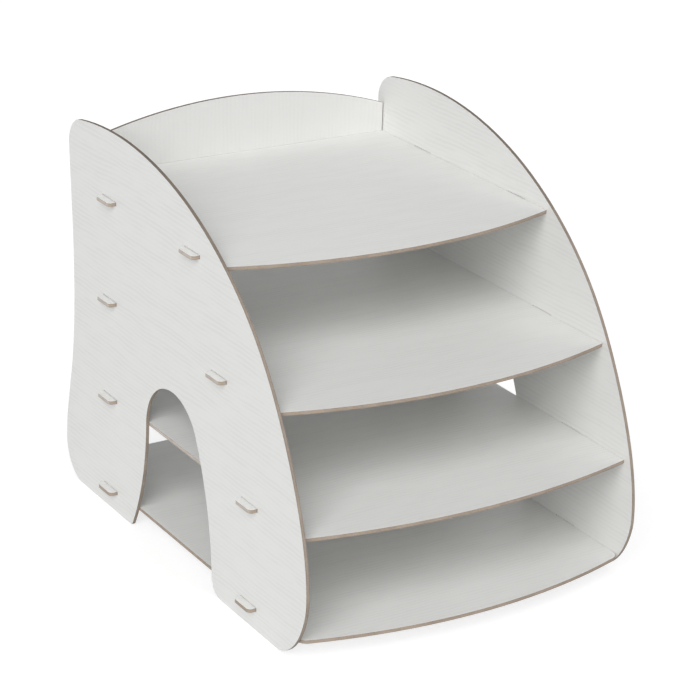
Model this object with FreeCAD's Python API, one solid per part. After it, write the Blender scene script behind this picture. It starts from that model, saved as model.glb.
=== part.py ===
import FreeCAD, Part
import math
import os

# Plug-together desk organizer: two sail-shaped side panels, four shelves that stand in
# slots of the panels, and a low back board that stands in slots of the top shelf.
# Millimetres. X runs across the object, the front is -Y, +Z is up, the feet stand on Z = 0.

Vec = FreeCAD.Vector

# ---- Boards and overall sizes ----
BOARD = 2.5                 # thickness of every board
INNER_WIDTH = 250.0         # between the inner faces of the side panels
PANEL_HEIGHT = 277.0        # feet to the crown of the side panel
PANEL_DEPTH = 337.5         # belly at the front to the heel at the rear

# ---- Front edge of the side panel: a toe from the floor up to the belly, the foremost
# point, then a long sweep up to the crown, the highest point ----
BELLY_HEIGHT = 46.5
CROWN_BACK = 261.0          # the crown lies this far behind the belly
TOE_LENGTH = 33.0           # from the belly back to where the front foot meets the floor
TOE_LEAN = 0.12             # how steeply the toe leaves the floor, height over length

# Points that the two curves pass through: (share of the curve's height, share of its length)
TOE_POINTS = [(0.30, 0.356), (0.62, 0.109)]
SWEEP_POINTS = [(0.10, 0.0084), (0.24, 0.0430), (0.42, 0.1158), (0.62, 0.2333),
                (0.80, 0.4108), (0.92, 0.6124)]

# ---- Rear edge of the side panel ----
HEEL_HEIGHT = 28.0
HEEL_LENGTH = 25.0          # from the heel forward to where the rear foot meets the floor
CALF_HEIGHT = 84.0
CALF_INSET = 9.3
WAIST_HEIGHT = 172.0
WAIST_INSET = 14.7
NAPE_INSET = 8.2            # inset of the rear edge where it meets the crown curve
NAPE_DROP = 7.6             # how far that place lies below the crown
NAPE_LEAN = 0.06            # how far it leans back there, per millimetre of height
NAPE_RADIUS = 20.0

# ---- Arch cut out of the side panel between its two feet ----
ARCH_HEIGHT = 122.4
ARCH_RADIUS = 37.0
ARCH_BEHIND_BELLY = 176.0   # from the belly back to the middle of the arch crown
ARCH_REAR_FLARE = 21.4      # how far the rear side runs out below the crown's half circle
ARCH_FRONT_FLARE = 19.7     # the same at the front side
ARCH_REAR_RADIUS = 3.0
ARCH_FRONT_RADIUS = 12.0

# ---- Shelves ----
FLOOR_GAP = 13.4            # floor to the underside of the bottom shelf
LOWER_STEP = 69.8           # from the bottom shelf up to the middle shelf
CROWN_OVER_TRAY = 47.3      # from the top shelf's upper face to the crown of the panels
SHELF_PLAY = 0.1            # between a shelf's side edge and the side panel
SHELF_REAR_INSET = 3.0      # rear edge of the three lower shelves, in front of the waist
BOTTOM_CORNER_RADIUS = 8.0

# How far each shelf's front corners lie behind the front edge of the side panel
TOP_SETBACK = 8.9
UPPER_SETBACK = 5.9
MIDDLE_SETBACK = 6.2
BOTTOM_SETBACK = 0.0

# How far the middle of each front edge bows out in front of its corners
TOP_BOW = 21.8
UPPER_BOW = 19.9
MIDDLE_BOW = 15.6
BOTTOM_BOW = 19.4

# ---- Tabs at the sides of the shelves, and the slots that take them ----
TAB_LENGTH = 19.5
TAB_REACH = 5.7             # how far a tab stands out of the side panel
TAB_RADIUS = 3.0
REAR_TAB_INSET = 56.0       # middle of the rear tabs, in front of the waist
TOP_TAB_BACK = 35.4         # middle of the front tab, behind the shelf's front corner
UPPER_TAB_BACK = 68.6
MIDDLE_TAB_BACK = 59.5
BOTTOM_TAB_BACK = 60.5
SLOT_END_PLAY = 0.4         # in front of a tab, and the same behind it
SLOT_HEADROOM = 0.25        # between the top of a tab and its slot

# ---- Back board of the top tray ----
BACK_RIM = 3.5              # part of the top shelf that is left behind the back board
BACK_END_HEIGHT = 21.4      # above the top shelf, at the side panels
BACK_RISE = 20.5            # how much higher the middle of its arched top is
BACK_END_GAP = 0.8          # to each side panel
BACK_TAB_LENGTH = 20.0
BACK_TAB_OFFSET = 63.4      # middle of each lower tab from the middle of the board
BACK_SLOT_PLAY = 0.2        # around each lower tab


# ---- Worked out from the sizes above ----
HALF_WIDTH = INNER_WIDTH / 2
TRAY_Z = PANEL_HEIGHT - CROWN_OVER_TRAY
BOTTOM_Z = FLOOR_GAP
MIDDLE_Z = BOTTOM_Z + LOWER_STEP
TOP_Z = TRAY_Z - BOARD
UPPER_Z = (MIDDLE_Z + TOP_Z) / 2
CROWN_RISE = PANEL_HEIGHT - BELLY_HEIGHT
NAPE_HEIGHT = PANEL_HEIGHT - NAPE_DROP


def on_panel(y, z):
    """A point of the side panel's outline, which is drawn in the plane X = 0."""
    return Vec(0, y, z)


def traced(start, points, end, leave, arrive):
    """Smooth curve from start through points to end, with the given end directions."""
    curve = Part.BSplineCurve()
    curve.interpolate(Points=[start, *points, end], Scale=False,
                      InitialTangent=leave.normalize(), FinalTangent=arrive.normalize())
    return curve.toShape()


def panel_toe(belly_y):
    """The edge of the front foot, from the floor up to the belly at belly_y."""
    points = [on_panel(belly_y + length * TOE_LENGTH, height * BELLY_HEIGHT)
              for height, length in TOE_POINTS]
    return traced(on_panel(belly_y + TOE_LENGTH, 0), points, on_panel(belly_y, BELLY_HEIGHT),
                  Vec(0, -1, TOE_LEAN), Vec(0, 0, 1))


def panel_sweep(belly_y):
    """The long front edge, from the belly at belly_y up to the crown."""
    points = [on_panel(belly_y + length * CROWN_BACK, BELLY_HEIGHT + height * CROWN_RISE)
              for height, length in SWEEP_POINTS]
    return traced(on_panel(belly_y, BELLY_HEIGHT), points,
                  on_panel(belly_y + CROWN_BACK, PANEL_HEIGHT), Vec(0, 0, 1), Vec(0, 1, 0))


def level_point(edge, z):
    """Y where an edge of the panel's outline crosses height z."""
    level = line(on_panel(-PANEL_DEPTH, z), on_panel(PANEL_DEPTH, z))
    return level.distToShape(edge)[1][0][0].y


def line(start, end):
    return Part.LineSegment(start, end).toShape()


# ---- Places along Y; Y = 0 is midway between the bottom shelf's bow and the heel ----
BOW_OVERHANG = BOTTOM_BOW - BOTTOM_SETBACK - level_point(panel_toe(0), BOTTOM_Z + BOARD)
BELLY_Y = (BOW_OVERHANG - PANEL_DEPTH) / 2
HEEL_Y = BELLY_Y + PANEL_DEPTH
CROWN_Y = BELLY_Y + CROWN_BACK
WAIST_Y = HEEL_Y - WAIST_INSET
NAPE_Y = HEEL_Y - NAPE_INSET
REAR_TAB_Y = WAIST_Y - REAR_TAB_INSET
ARCH_Y = BELLY_Y + ARCH_BEHIND_BELLY


def panel_front(z):
    """Y of the side panel's front edge at height z."""
    edge = panel_sweep(BELLY_Y) if z > BELLY_HEIGHT else panel_toe(BELLY_Y)
    return level_point(edge, z)


def panel_rear():
    """The rear edge of the side panel, an S-curve from the heel up to the nape."""
    points = [on_panel(HEEL_Y - CALF_INSET, CALF_HEIGHT), on_panel(WAIST_Y, WAIST_HEIGHT)]
    return traced(on_panel(HEEL_Y, HEEL_HEIGHT), points, on_panel(NAPE_Y, NAPE_HEIGHT),
                  Vec(0, 0, 1), Vec(0, NAPE_LEAN, 1))


def crown_arc():
    """The highest part of the outline, from the crown back and down to the nape."""
    back = NAPE_Y - CROWN_Y
    radius = (back ** 2 + NAPE_DROP ** 2) / (2 * NAPE_DROP)
    sweep = math.asin(back / radius)
    quarter = math.pi / 2
    return circle_arc(CROWN_Y, PANEL_HEIGHT - radius, radius, quarter, quarter - sweep)


def heel_arc():
    """Quarter ellipse from the heel down to where the rear foot meets the floor."""
    centre = on_panel(HEEL_Y - HEEL_LENGTH, HEEL_HEIGHT)
    heel = on_panel(HEEL_Y, HEEL_HEIGHT)
    foot = on_panel(HEEL_Y - HEEL_LENGTH, 0)
    vertex, other = (heel, foot) if HEEL_LENGTH > HEEL_HEIGHT else (foot, heel)
    return Part.Arc(Part.Ellipse(vertex, other, centre), 0, math.pi / 2).toShape()


def circle_arc(centre_y, centre_z, radius, start, end):
    """Arc in the plane of the side panel, from angle start to end, 0 pointing to +Y."""
    points = [
        on_panel(centre_y + radius * math.cos(a), centre_z + radius * math.sin(a))
        for a in (start, (start + end) / 2, end)
    ]
    return Part.Arc(*points).toShape()


def arch_edges():
    """Rear side, crown and front side of the arch, three arcs that run into each other."""
    crown_z = ARCH_HEIGHT - ARCH_RADIUS
    rear_radius = (crown_z ** 2 + ARCH_REAR_FLARE ** 2) / (2 * ARCH_REAR_FLARE)
    rear_sweep = math.asin(crown_z / rear_radius)
    rear_y = ARCH_Y + ARCH_RADIUS + rear_radius
    reach = ARCH_RADIUS + ARCH_FRONT_FLARE
    front_radius = (reach ** 2 + crown_z ** 2 - ARCH_RADIUS ** 2) / (2 * ARCH_FRONT_FLARE)
    front_y = ARCH_Y - reach + front_radius
    front_angle = math.pi - math.asin(crown_z / (front_radius - ARCH_RADIUS))
    return [
        circle_arc(rear_y, crown_z, rear_radius, math.pi + rear_sweep, math.pi),
        circle_arc(ARCH_Y, crown_z, ARCH_RADIUS, 0, front_angle),
        circle_arc(front_y, 0, front_radius, front_angle, math.pi),
    ]


def panel_outline():
    """Face of the side panel in the plane X = 0, without slots and corner radii."""
    toe_floor = on_panel(BELLY_Y + TOE_LENGTH, 0)
    heel_floor = on_panel(HEEL_Y - HEEL_LENGTH, 0)
    arch_rear = on_panel(ARCH_Y + ARCH_RADIUS + ARCH_REAR_FLARE, 0)
    arch_front = on_panel(ARCH_Y - ARCH_RADIUS - ARCH_FRONT_FLARE, 0)
    edges = [
        panel_toe(BELLY_Y),
        panel_sweep(BELLY_Y),
        crown_arc(),
        panel_rear(),
        heel_arc(),
        line(heel_floor, arch_rear),
        *arch_edges(),
        line(arch_front, toe_floor),
    ]
    return Part.Face(Part.Wire(Part.sortEdges(edges)[0]))


def corner_edge(solid, y, z):
    """The edge of a side panel that runs across its thickness through (y, z)."""
    probe = Part.Vertex(solid.BoundBox.Center.x, y, z)
    across = [e for e in solid.Edges if abs(e.BoundBox.XLength - BOARD) < 0.01 * BOARD
              and e.BoundBox.YLength + e.BoundBox.ZLength < 0.01 * BOARD]
    return min(across, key=lambda e: e.distToShape(probe)[0])


def side_slots(inner_x, shelves):
    """Cutters for the slots of one side panel, whose inner face lies at inner_x."""
    length = TAB_LENGTH + 2 * SLOT_END_PLAY
    height = BOARD + SLOT_HEADROOM
    cutters = []
    for shelf in shelves:
        for tab_y in (REAR_TAB_Y, shelf.front_tab_y):
            corner = Vec(inner_x - 2 * BOARD, tab_y - length / 2, shelf.bottom)
            cutters.append(Part.makeBox(4 * BOARD, length, height, corner))
    return cutters


def side_panel(inner_x, outward, shelves):
    """Side panel whose inner face lies at inner_x; outward is +1 at the right."""
    face = panel_outline()
    face.translate(Vec(min(inner_x, inner_x + outward * BOARD), 0, 0))
    panel = face.extrude(Vec(BOARD, 0, 0))
    corners = [
        (NAPE_Y, NAPE_HEIGHT, NAPE_RADIUS),
        (ARCH_Y + ARCH_RADIUS + ARCH_REAR_FLARE, 0, ARCH_REAR_RADIUS),
        (ARCH_Y - ARCH_RADIUS - ARCH_FRONT_FLARE, 0, ARCH_FRONT_RADIUS),
    ]
    for y, z, radius in corners:
        panel = panel.makeFillet(radius, [corner_edge(panel, y, z)])
    return panel.cut(side_slots(inner_x, shelves))


class Shelf:
    """Where one shelf lies, and the places that follow from it."""

    def __init__(self, bottom, setback, bow, tab_back, rear_y):
        self.bottom = bottom
        self.bow = bow
        self.corner_y = panel_front(bottom + BOARD) + setback
        self.front_tab_y = self.corner_y + tab_back
        self.rear_y = rear_y


def rounded(solid, radius, picks):
    """Solid with the upright edges at the picked (x, y) places rounded."""
    for x, y in picks:
        probe = Part.Vertex(x, y, solid.BoundBox.Center.z)
        upright = [e for e in solid.Edges if abs(e.BoundBox.ZLength - BOARD) < 0.01 * BOARD
                   and e.BoundBox.XLength + e.BoundBox.YLength < 0.01 * BOARD]
        solid = solid.makeFillet(radius, [min(upright, key=lambda e: e.distToShape(probe)[0])])
    return solid


def side_tab(side, tab_y, bottom):
    """One tab with a rounded nose, from inside the shelf out through the side panel."""
    root = HALF_WIDTH - 2 * BOARD
    nose = HALF_WIDTH + BOARD + TAB_REACH
    ends = (tab_y - TAB_LENGTH / 2, tab_y + TAB_LENGTH / 2)
    left = root if side > 0 else -nose
    tab = Part.makeBox(nose - root, TAB_LENGTH, BOARD, Vec(left, ends[0], bottom))
    return rounded(tab, TAB_RADIUS, [(side * nose, y) for y in ends])


def shelf_board(shelf):
    """Shelf with a bowed front edge and two tabs on each side."""
    bottom = shelf.bottom
    half = HALF_WIDTH - SHELF_PLAY
    front_left = Vec(-half, shelf.corner_y, bottom)
    front_right = Vec(half, shelf.corner_y, bottom)
    rear_left = Vec(-half, shelf.rear_y, bottom)
    rear_right = Vec(half, shelf.rear_y, bottom)
    bow = Part.Arc(front_left, Vec(0, shelf.corner_y - shelf.bow, bottom), front_right)
    edges = [
        bow.toShape(),
        line(front_right, rear_right),
        line(rear_right, rear_left),
        line(rear_left, front_left),
    ]
    board = Part.Face(Part.Wire(edges)).extrude(Vec(0, 0, BOARD))
    tabs = [side_tab(side, y, bottom) for side in (-1, 1)
            for y in (REAR_TAB_Y, shelf.front_tab_y)]
    return board.multiFuse(tabs).removeSplitter()


def back_tab_boxes(play, bottom, top):
    """Boxes of the back board's two lower tabs, grown by play all round."""
    length = BACK_TAB_LENGTH + 2 * play
    depth = BOARD + 2 * play
    return [
        Part.makeBox(length, depth, top - bottom,
                     Vec(side * BACK_TAB_OFFSET - length / 2, BACK_FRONT_Y - play, bottom))
        for side in (-1, 1)
    ]


def back_board():
    """Low board behind the top tray, with an arched top edge."""
    half = HALF_WIDTH - BACK_END_GAP
    left = Vec(-half, BACK_FRONT_Y, TRAY_Z)
    right = Vec(half, BACK_FRONT_Y, TRAY_Z)
    up = Vec(0, 0, BACK_END_HEIGHT)
    middle = Vec(0, BACK_FRONT_Y, TRAY_Z + BACK_END_HEIGHT + BACK_RISE)
    edges = [
        line(left, right),
        line(right, right + up),
        Part.Arc(right + up, middle, left + up).toShape(),
        line(left + up, left),
    ]
    board = Part.Face(Part.Wire(edges)).extrude(Vec(0, BOARD, 0))
    return board.multiFuse(back_tab_boxes(0, TOP_Z, TRAY_Z)).removeSplitter()


def top_shelf(shelf):
    """The top shelf also has the two slots that the back board stands in."""
    return shelf_board(shelf).cut(
        back_tab_boxes(BACK_SLOT_PLAY, TOP_Z - BOARD, TRAY_Z + BOARD))


LOWER_REAR_Y = WAIST_Y - SHELF_REAR_INSET
TOP_REAR_Y = level_point(panel_rear(), TOP_Z)
BACK_FRONT_Y = TOP_REAR_Y - BACK_RIM - BOARD

SHELVES = {
    "bottom_shelf": Shelf(BOTTOM_Z, BOTTOM_SETBACK, BOTTOM_BOW, BOTTOM_TAB_BACK, LOWER_REAR_Y),
    "middle_shelf": Shelf(MIDDLE_Z, MIDDLE_SETBACK, MIDDLE_BOW, MIDDLE_TAB_BACK, LOWER_REAR_Y),
    "upper_shelf": Shelf(UPPER_Z, UPPER_SETBACK, UPPER_BOW, UPPER_TAB_BACK, LOWER_REAR_Y),
    "top_shelf": Shelf(TOP_Z, TOP_SETBACK, TOP_BOW, TOP_TAB_BACK, TOP_REAR_Y),
}


def bottom_shelf(shelf):
    """The bottom shelf stands out in front of the panels' toes, so its corners are rounded."""
    half = HALF_WIDTH - SHELF_PLAY
    return rounded(shelf_board(shelf), BOTTOM_CORNER_RADIUS,
                   [(-half, shelf.corner_y), (half, shelf.corner_y)])


def build():
    shelves = list(SHELVES.values())
    return {
        "left_side_panel": side_panel(-HALF_WIDTH, -1, shelves),
        "right_side_panel": side_panel(HALF_WIDTH, 1, shelves),
        "bottom_shelf": bottom_shelf(SHELVES["bottom_shelf"]),
        "middle_shelf": shelf_board(SHELVES["middle_shelf"]),
        "upper_shelf": shelf_board(SHELVES["upper_shelf"]),
        "top_shelf": top_shelf(SHELVES["top_shelf"]),
        "back_board": back_board(),
    }


os.makedirs("parts", exist_ok=True)
for name, shape in build().items():
    shape.exportStep(f"parts/{name}.step")
    box = shape.optimalBoundingBox(False)
    print(f"{name}: {len(shape.Solids)} solid, valid {shape.isValid()}, "
          f"X {box.XMin:.1f}..{box.XMax:.1f}, Y {box.YMin:.1f}..{box.YMax:.1f}, "
          f"Z {box.ZMin:.1f}..{box.ZMax:.1f}, {shape.Volume / 1000:.1f} cm3")
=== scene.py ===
"""Looks of the plug-together desk organizer: white wood-grain foil on thin boards with bare cut
edges. Metres; X runs across the object, the front is -Y, +Z is up."""

import math
from collections import namedtuple

import bmesh
import bpy
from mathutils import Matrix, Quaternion, Vector


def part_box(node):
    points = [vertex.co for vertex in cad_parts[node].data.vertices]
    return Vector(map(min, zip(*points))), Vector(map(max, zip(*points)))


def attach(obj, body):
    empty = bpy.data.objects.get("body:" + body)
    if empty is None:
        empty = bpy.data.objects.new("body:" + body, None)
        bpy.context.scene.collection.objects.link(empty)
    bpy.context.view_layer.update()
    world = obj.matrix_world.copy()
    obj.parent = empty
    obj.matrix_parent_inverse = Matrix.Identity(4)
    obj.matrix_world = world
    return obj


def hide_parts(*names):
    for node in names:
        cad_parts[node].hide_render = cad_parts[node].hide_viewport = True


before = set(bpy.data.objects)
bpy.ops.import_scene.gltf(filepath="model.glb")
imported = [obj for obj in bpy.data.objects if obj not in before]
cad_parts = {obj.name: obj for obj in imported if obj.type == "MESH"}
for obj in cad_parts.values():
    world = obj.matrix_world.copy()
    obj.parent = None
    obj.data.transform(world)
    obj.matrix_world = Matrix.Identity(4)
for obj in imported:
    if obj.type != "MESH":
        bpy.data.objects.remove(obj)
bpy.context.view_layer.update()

MM = 0.001
X, Y, Z = range(3)
QUARTER = math.pi / 2


def srgb(red, green, blue):
    """Linear colour of an 8-bit sRGB one."""
    def linear(level):
        share = level / 255
        return share / 12.92 if share <= 0.04045 else ((share + 0.055) / 1.055) ** 2.4
    return (linear(red), linear(green), linear(blue), 1.0)


# ---- Boards: node name, and the axis that runs through the board's thickness ----
BOARDS = {
    "left_side_panel": X,
    "right_side_panel": X,
    "bottom_shelf": Z,
    "middle_shelf": Z,
    "upper_shelf": Z,
    "top_shelf": Z,
    "back_board": Y,
}
HALF_BOARD = 1.25 * MM
SAME_CORNER = 0.0005 * MM           # corners nearer than this are one
FLAT_TURN = math.radians(0.5)       # faces that meet flatter than this become one
SHARP_TURN = math.radians(40)       # edges that turn more than this are eased
SQUARE_ON = 0.9                     # a face that looks along the thickness carries foil
ARRIS = 0.18 * MM                   # how far the cut edges are eased
ARRIS_STEPS = 2

# ---- Patterns: noise per metre, shortened along the grain ----
Pattern = namedtuple("Pattern", "along scale detail roughness", defaults=(0.5,))
WANDER = Pattern(0.5, 30.0, 3.0)            # slow drift of the grain lines
BREAKS = Pattern(0.2, 150.0, 1.0)           # where the grain lines fade out
STREAKS = Pattern(0.07, 900.0, 2.0, 0.6)
PORES = Pattern(0.09, 1700.0, 1.0)
FLECKS = Pattern(1.0, 1500.0, 3.0, 0.65)    # single fibres in a cut edge
PATCHES = Pattern(1.0, 90.0, 2.0)           # darker and paler stretches of a cut edge
NOISE_MIDDLE = 0.5

# ---- Foil: a grain line every 3.3 mm. Cuts are the noise levels between which a mask rises ----
RING_SCALE = 190.0
RING_WAVES = 1.2
RING_DETAIL = 1.0
WANDER_WIDTH = 4.0 * MM
BREAK_CUT = (0.38, 0.62)
LINE_STRENGTH = (0.2, 1.0)          # of a grain line in a break and beside it
PORE_CUT = (0.62, 0.74)
PLAIN_RISE = 0.8                    # relief, as shares of the grain's depth
LINE_RISE = -0.5
STREAK_RISE = 0.25
PORE_SINK = 0.3
GRAIN_DEPTH = 0.05 * MM
LINE_SHADE = 0.75                   # shares of the line tone
PORE_SHADE = 0.25
FOIL_LEVELS = (0.2, 1.0)            # relief of the pits and of the ridges
FOIL_ROUGHNESS = (0.52, 0.40)
FOIL_GLOSS = 0.35
FOIL_TONE = srgb(233, 233, 231)
# The turn lays the grain's X along the board.
Foil = namedtuple("Foil", "name turn line_tone")
FOILS = {
    X: Foil("foil_side_panel", (0, 0, QUARTER), srgb(226, 226, 224)),
    Y: Foil("foil_back_board", (0, QUARTER, 0), srgb(230, 230, 228)),
    Z: Foil("foil_shelf", (0, 0, 0), srgb(227, 227, 225)),
}

# ---- Cut edges: heart and skin of the board ----
PANEL_EDGE = (srgb(170, 158, 145), srgb(128, 116, 106))
UPTURNED_EDGE = (srgb(130, 119, 108), srgb(96, 86, 78))
SHELF_EDGE = (srgb(180, 165, 150), srgb(140, 126, 112))
# Painted highlight: a paler copy of the shelf edge tones, laid on shelf edges that face sideways,
# such as the tab ends.
SIDE_EDGE_PAINTED_HIGHLIGHT = (srgb(205, 196, 186), srgb(166, 156, 147))
TURNED = (0.7, 1.0)                 # part of the normal from which an edge starts to face an axis
SKIN_LAYER = (0.55, 1.0)            # from the heart, as shares of half the thickness
SKIN_SHARE = 0.55
PATCH_CUT = (0.35, 0.65)
PATCH_SHARE = (0.0, 0.3)
FLECK_CUT = (0.35, 0.7)
FLECK_SHARE = (-0.1, 0.35)
FIBRE_DEPTH = 0.06 * MM
EDGE_LEVELS = (0.3, 0.7)
EDGE_ROUGHNESS = (0.72, 0.88)
EDGE_GLOSS = 0.2

# ---- Camera ----
CAMERA_PLACE = Vector((-0.8158, -1.2804, 0.7445))
CAMERA_AZIMUTH = math.radians(-32.601)
CAMERA_ELEVATION = math.radians(21.935)
CAMERA_ROLL = math.radians(1.961)
CAMERA_LENS = 123.705
SENSOR = 36.0

# ---- Floor: it keeps the object's shadow near by and goes over into plain white ----
FLOOR_SIZE = 6.0
FLOOR_TONE = (0.85, 0.85, 0.85, 1.0)
FLOOR_ROUGHNESS = 0.9
FLOOR_GLOSS = 0.1
# Distance from the object's middle, share of plain white there, and the white's strength.
Whiteness = namedtuple("Whiteness", "distance share strength")
FLOOR_NEAR = Whiteness(0.17, 0.60, 1.26)
FLOOR_FAR = Whiteness(0.32, 0.90, 1.10)
WHITE = (1.0, 1.0, 1.0, 1.0)

# ---- Light ----
SURROUND = 0.315            # strength of the white room as the object sees it
LAMP_AIM = Vector((0.0, 0.0, 0.13))
LAMP_SIZE = 4.3
KEY_PLACE = Vector((-4.2, -3.6, 3.9))
KEY_POWER = 304.0
FILL_PLACE = Vector((0.9, -4.0, 5.2))
FILL_POWER = 65.0


# ------------------------------------------------------------------ nodes

class Group:
    """A shader node group with named inputs and outputs."""

    def __init__(self, name, inputs, outputs):
        self.tree = bpy.data.node_groups.new(name, "ShaderNodeTree")
        for direction, sockets in (("INPUT", inputs), ("OUTPUT", outputs)):
            for label, kind in sockets.items():
                self.tree.interface.new_socket(label, in_out=direction, socket_type=kind)
        self.inside = self.tree.nodes.new("NodeGroupInput")
        self.outside = self.tree.nodes.new("NodeGroupOutput")

    def taken(self, label):
        return self.inside.outputs[label]

    def give(self, label, socket):
        self.tree.links.new(socket, self.outside.inputs[label])


SURFACE = {"Color": "NodeSocketColor", "Height": "NodeSocketFloat", "Roughness": "NodeSocketFloat"}


def add_node(tree, kind, settings=None, **wires):
    """New node; settings are its properties, wires its inputs, as values or as sockets.
    A wire's name is the input's label with _ for each space, or i and the input's number."""
    node = tree.nodes.new(kind)
    for key, value in (settings or {}).items():
        setattr(node, key, value)
    for key, value in wires.items():
        numbered = key[0] == "i" and key[1:].isdigit()
        socket = node.inputs[int(key[1:]) if numbered else key.replace("_", " ")]
        if isinstance(value, bpy.types.NodeSocket):
            tree.links.new(value, socket)
        else:
            socket.default_value = value
    return node


def math_node(tree, operation, first, second=0.0, clamp=False):
    settings = {"operation": operation, "use_clamp": clamp}
    return add_node(tree, "ShaderNodeMath", settings, i0=first, i1=second).outputs[0]


def ranged(tree, value, levels, results=(0.0, 1.0)):
    """Value mapped from between two levels to between two results, clamped."""
    return add_node(tree, "ShaderNodeMapRange", {"clamp": True}, Value=value,
                    From_Min=levels[0], From_Max=levels[1],
                    To_Min=results[0], To_Max=results[1]).outputs[0]


def stretched(tree, place, along):
    """Place with its X, the grain's direction, shortened, so that patterns run along X."""
    return add_node(tree, "ShaderNodeVectorMath", {"operation": "MULTIPLY"},
                    i0=place, i1=(along, 1.0, 1.0)).outputs[0]


def noise(tree, place, pattern):
    return add_node(tree, "ShaderNodeTexNoise", Vector=stretched(tree, place, pattern.along),
                    Scale=pattern.scale, Detail=pattern.detail,
                    Roughness=pattern.roughness).outputs["Fac"]


def mixed(tree, factor, first, second):
    settings = {"data_type": "RGBA", "blend_type": "MIX"}
    return add_node(tree, "ShaderNodeMix", settings, i0=factor, i6=first, i7=second).outputs[2]


def object_place(tree):
    return add_node(tree, "ShaderNodeTexCoord").outputs["Object"]


# ------------------------------------------------------------------ materials

def make_grain_group():
    """Embossed wood grain: fine lines, streaks and short pores along X."""
    group = Group("embossed_grain",
                  {"Vector": "NodeSocketVector", "Tone": "NodeSocketColor",
                   "Line Tone": "NodeSocketColor"}, SURFACE)
    tree = group.tree
    place = group.taken("Vector")
    wander = math_node(tree, "SUBTRACT", noise(tree, place, WANDER), NOISE_MIDDLE)
    wander = math_node(tree, "MULTIPLY", wander, WANDER_WIDTH)
    shift = add_node(tree, "ShaderNodeCombineXYZ", Y=wander, Z=wander).outputs[0]
    bent = add_node(tree, "ShaderNodeVectorMath", {"operation": "ADD"},
                    i0=place, i1=shift).outputs[0]
    rings = add_node(tree, "ShaderNodeTexWave",
                     {"wave_type": "BANDS", "bands_direction": "DIAGONAL"},
                     Vector=stretched(tree, bent, 0.0), Scale=RING_SCALE,
                     Distortion=RING_WAVES, Detail=RING_DETAIL).outputs["Fac"]
    strength = ranged(tree, noise(tree, bent, BREAKS), BREAK_CUT, LINE_STRENGTH)
    lines = math_node(tree, "MULTIPLY", rings, strength)
    streaks = noise(tree, bent, STREAKS)
    pores = ranged(tree, noise(tree, bent, PORES), PORE_CUT)

    height = math_node(tree, "MULTIPLY", lines, LINE_RISE)
    height = math_node(tree, "ADD", height, math_node(tree, "MULTIPLY", streaks, STREAK_RISE))
    height = math_node(tree, "SUBTRACT", height, math_node(tree, "MULTIPLY", pores, PORE_SINK))
    height = math_node(tree, "ADD", height, PLAIN_RISE)
    shade = math_node(tree, "MULTIPLY", lines, LINE_SHADE)
    shade = math_node(tree, "ADD", shade, math_node(tree, "MULTIPLY", pores, PORE_SHADE), True)

    group.give("Color", mixed(tree, shade, group.taken("Tone"), group.taken("Line Tone")))
    group.give("Height", height)
    group.give("Roughness", ranged(tree, height, FOIL_LEVELS, FOIL_ROUGHNESS))
    return group.tree


def make_fibre_group():
    """Cut edge of a fibre board: pressed fibres, a paler heart and scorched outer layers."""
    group = Group("pressed_fibres",
                  {"Vector": "NodeSocketVector", "Depth": "NodeSocketFloat",
                   "Heart": "NodeSocketColor", "Skin": "NodeSocketColor"}, SURFACE)
    tree = group.tree
    place = group.taken("Vector")
    flecks = noise(tree, place, FLECKS)
    patches = noise(tree, place, PATCHES)
    layer = ranged(tree, group.taken("Depth"), SKIN_LAYER)
    share = math_node(tree, "MULTIPLY", layer, SKIN_SHARE)
    share = math_node(tree, "ADD", share, ranged(tree, patches, PATCH_CUT, PATCH_SHARE))
    share = math_node(tree, "ADD", share, ranged(tree, flecks, FLECK_CUT, FLECK_SHARE), True)

    group.give("Color", mixed(tree, share, group.taken("Heart"), group.taken("Skin")))
    group.give("Height", flecks)
    group.give("Roughness", ranged(tree, flecks, EDGE_LEVELS, EDGE_ROUGHNESS))
    return group.tree


def new_material(name):
    material = bpy.data.materials.new(name)
    material.use_nodes = True
    tree = material.node_tree
    return material, tree, tree.nodes["Principled BSDF"]


def dress(tree, shader, surface, gloss, depth):
    """Wire a group's colour, roughness and relief into the shader."""
    tree.links.new(surface.outputs["Color"], shader.inputs["Base Color"])
    tree.links.new(surface.outputs["Roughness"], shader.inputs["Roughness"])
    shader.inputs["Specular IOR Level"].default_value = gloss
    relief = add_node(tree, "ShaderNodeBump", Height=surface.outputs["Height"], Distance=depth,
                      Strength=1.0)
    tree.links.new(relief.outputs[0], shader.inputs["Normal"])


def make_foil(group, name, turn, line_tone):
    """White foil with embossed grain."""
    material, tree, shader = new_material(name)
    laid = add_node(tree, "ShaderNodeMapping", {"vector_type": "POINT"},
                    Vector=object_place(tree), Rotation=turn).outputs[0]
    grain = add_node(tree, "ShaderNodeGroup", {"node_tree": group}, Vector=laid,
                     Tone=FOIL_TONE, Line_Tone=line_tone)
    dress(tree, shader, grain, FOIL_GLOSS, GRAIN_DEPTH)
    return material


def edge_tones(node, axis):
    """Tones of a board's cut edges, an axis, and the tones of the edges that face along it:
    upturned edges on the upright boards, and on the shelves a painted highlight, a paler tone
    on the edges that face sideways, such as the tab ends. The bottom shelf's tabs lie in the
    panels' shade and get no painted highlight: they are as dark as its front edge."""
    if axis != Z:
        return PANEL_EDGE, Z, UPTURNED_EDGE
    return SHELF_EDGE, X, SHELF_EDGE if node == "bottom_shelf" else SIDE_EDGE_PAINTED_HIGHLIGHT


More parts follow.
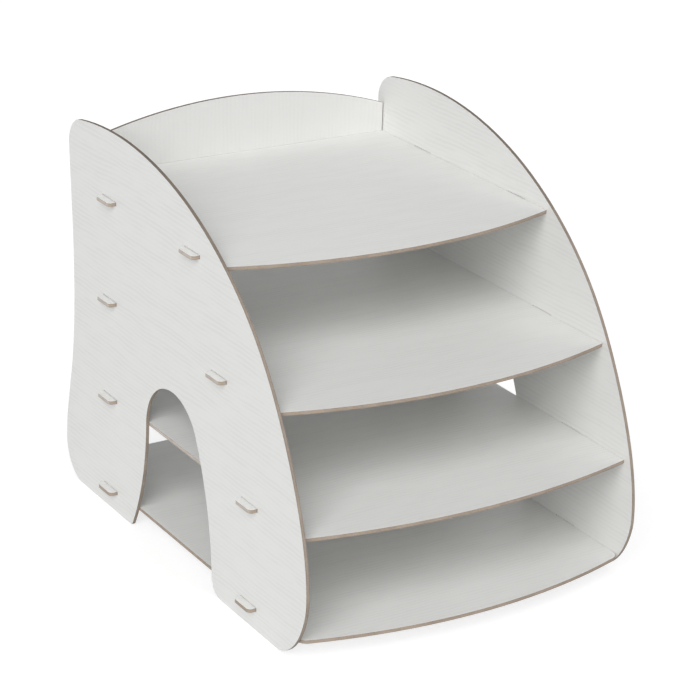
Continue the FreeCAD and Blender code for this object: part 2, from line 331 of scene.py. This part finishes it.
def make_cut_edge(group, node, axis, middle):
    """Bare fibre board between two foils; middle is the board's heart on its axis."""
    tones, turned_axis, turned_tones = edge_tones(node, axis)
    material, tree, shader = new_material("cut_edge_" + node)
    spot = add_node(tree, "ShaderNodeTexCoord")
    facing = add_node(tree, "ShaderNodeSeparateXYZ", Vector=spot.outputs["Normal"])
    # Edges that face along the turned axis take the turned tones; on the shelves these are a
    # painted highlight.
    turned = math_node(tree, "ABSOLUTE", facing.outputs[turned_axis])
    turned = ranged(tree, turned, TURNED)
    heart, skin = (mixed(tree, turned, plain, other)
                   for plain, other in zip(tones, turned_tones))
    across = add_node(tree, "ShaderNodeSeparateXYZ", Vector=spot.outputs["Object"]).outputs[axis]
    depth = math_node(tree, "ABSOLUTE", math_node(tree, "SUBTRACT", across, middle))
    depth = math_node(tree, "DIVIDE", depth, HALF_BOARD)
    fibres = add_node(tree, "ShaderNodeGroup", {"node_tree": group},
                      Vector=spot.outputs["Object"], Depth=depth, Heart=heart, Skin=skin)
    dress(tree, shader, fibres, EDGE_GLOSS, FIBRE_DEPTH)
    return material


# ------------------------------------------------------------------ boards

def thin_board(node, axis, foil, fibres):
    """The board with eased arrises: foil on its two faces, bare fibre board on its cut edges."""
    low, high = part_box(node)
    mesh = bpy.data.meshes.new(node + "_board")
    shape = bmesh.new()
    shape.from_mesh(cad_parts[node].data)
    bmesh.ops.remove_doubles(shape, verts=shape.verts, dist=SAME_CORNER)
    bmesh.ops.dissolve_limit(shape, angle_limit=FLAT_TURN, verts=shape.verts,
                             edges=shape.edges, use_dissolve_boundaries=False)
    for face in shape.faces:
        face.material_index = 0 if abs(face.normal[axis]) > SQUARE_ON else 1
        face.smooth = True
    arrises = [edge for edge in shape.edges if edge.calc_face_angle(0.0) > SHARP_TURN]
    bmesh.ops.bevel(shape, geom=arrises, offset=ARRIS, offset_type="OFFSET",
                    segments=ARRIS_STEPS, affect="EDGES", profile=0.5, material=-1,
                    clamp_overlap=True)
    shape.normal_update()
    shape.to_mesh(mesh)
    shape.free()
    mesh.materials.append(foil)
    mesh.materials.append(make_cut_edge(fibres, node, axis, (low[axis] + high[axis]) / 2))

    board = bpy.data.objects.new(node + "_dressed", mesh)
    bpy.context.scene.collection.objects.link(board)
    board.modifiers.new("weighted", "WEIGHTED_NORMAL").weight = 100
    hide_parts(node)
    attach(board, "root")


def make_boards():
    grain = make_grain_group()
    fibres = make_fibre_group()
    foils = {axis: make_foil(grain, *foil) for axis, foil in FOILS.items()}
    for node, axis in BOARDS.items():
        thin_board(node, axis, foils[axis], fibres)


# ------------------------------------------------------------------ floor, light and camera

def seen_rays(tree):
    """1 for rays that show the white backdrop: from the camera, or off gloss, or through glass."""
    rays = add_node(tree, "ShaderNodeLightPath").outputs
    shown = math_node(tree, "MAXIMUM", rays["Is Camera Ray"], rays["Is Glossy Ray"])
    return math_node(tree, "MAXIMUM", shown, rays["Is Transmission Ray"])


def make_floor():
    mesh = bpy.data.meshes.new("floor")
    shape = bmesh.new()
    bmesh.ops.create_grid(shape, x_segments=1, y_segments=1, size=FLOOR_SIZE / 2)
    shape.to_mesh(mesh)
    shape.free()
    floor = bpy.data.objects.new("floor", mesh)
    bpy.context.scene.collection.objects.link(floor)

    material, tree, shader = new_material("pale_floor")
    shader.inputs["Base Color"].default_value = FLOOR_TONE
    shader.inputs["Roughness"].default_value = FLOOR_ROUGHNESS
    shader.inputs["Specular IOR Level"].default_value = FLOOR_GLOSS
    reach = add_node(tree, "ShaderNodeVectorMath", {"operation": "LENGTH"},
                     i0=object_place(tree)).outputs["Value"]
    distances = (FLOOR_NEAR.distance, FLOOR_FAR.distance)
    share = ranged(tree, reach, distances, (FLOOR_NEAR.share, FLOOR_FAR.share))
    strength = ranged(tree, reach, distances, (FLOOR_NEAR.strength, FLOOR_FAR.strength))
    glow = add_node(tree, "ShaderNodeEmission", Color=WHITE, Strength=strength).outputs[0]
    lift = math_node(tree, "MULTIPLY", seen_rays(tree), share)
    blend = add_node(tree, "ShaderNodeMixShader", i0=lift, i1=shader.outputs[0], i2=glow)
    tree.links.new(blend.outputs[0], tree.nodes["Material Output"].inputs["Surface"])
    mesh.materials.append(material)


def make_world():
    world = bpy.data.worlds.new("studio")
    bpy.context.scene.world = world
    world.use_nodes = True
    tree = world.node_tree
    backdrop = tree.nodes["Background"]
    backdrop.inputs["Color"].default_value = WHITE
    strength = ranged(tree, seen_rays(tree), (0.0, 1.0), (SURROUND, 1.0))
    tree.links.new(strength, backdrop.inputs["Strength"])


def make_lamp(name, place, power):
    data = bpy.data.lights.new(name, "AREA")
    data.shape = "SQUARE"
    data.size = LAMP_SIZE
    data.energy = power
    lamp = bpy.data.objects.new(name, data)
    lamp.location = place
    lamp.rotation_euler = (LAMP_AIM - place).to_track_quat("-Z", "Y").to_euler()
    bpy.context.scene.collection.objects.link(lamp)


def make_camera():
    data = bpy.data.cameras.new("camera")
    data.lens = CAMERA_LENS
    data.sensor_width = SENSOR
    camera = bpy.data.objects.new("camera", data)
    towards = Vector((math.sin(CAMERA_AZIMUTH) * math.cos(CAMERA_ELEVATION),
                      -math.cos(CAMERA_AZIMUTH) * math.cos(CAMERA_ELEVATION),
                      math.sin(CAMERA_ELEVATION)))
    level = (-towards).to_track_quat("-Z", "Y")
    camera.rotation_mode = "QUATERNION"
    camera.rotation_quaternion = level @ Quaternion((0, 0, 1), CAMERA_ROLL)
    camera.location = CAMERA_PLACE
    bpy.context.scene.collection.objects.link(camera)
    bpy.context.scene.camera = camera


make_boards()
make_floor()
make_world()
make_lamp("key", KEY_PLACE, KEY_POWER)
make_lamp("fill", FILL_PLACE, FILL_POWER)
make_camera()
bpy.context.scene.view_settings.view_transform = "Standard"
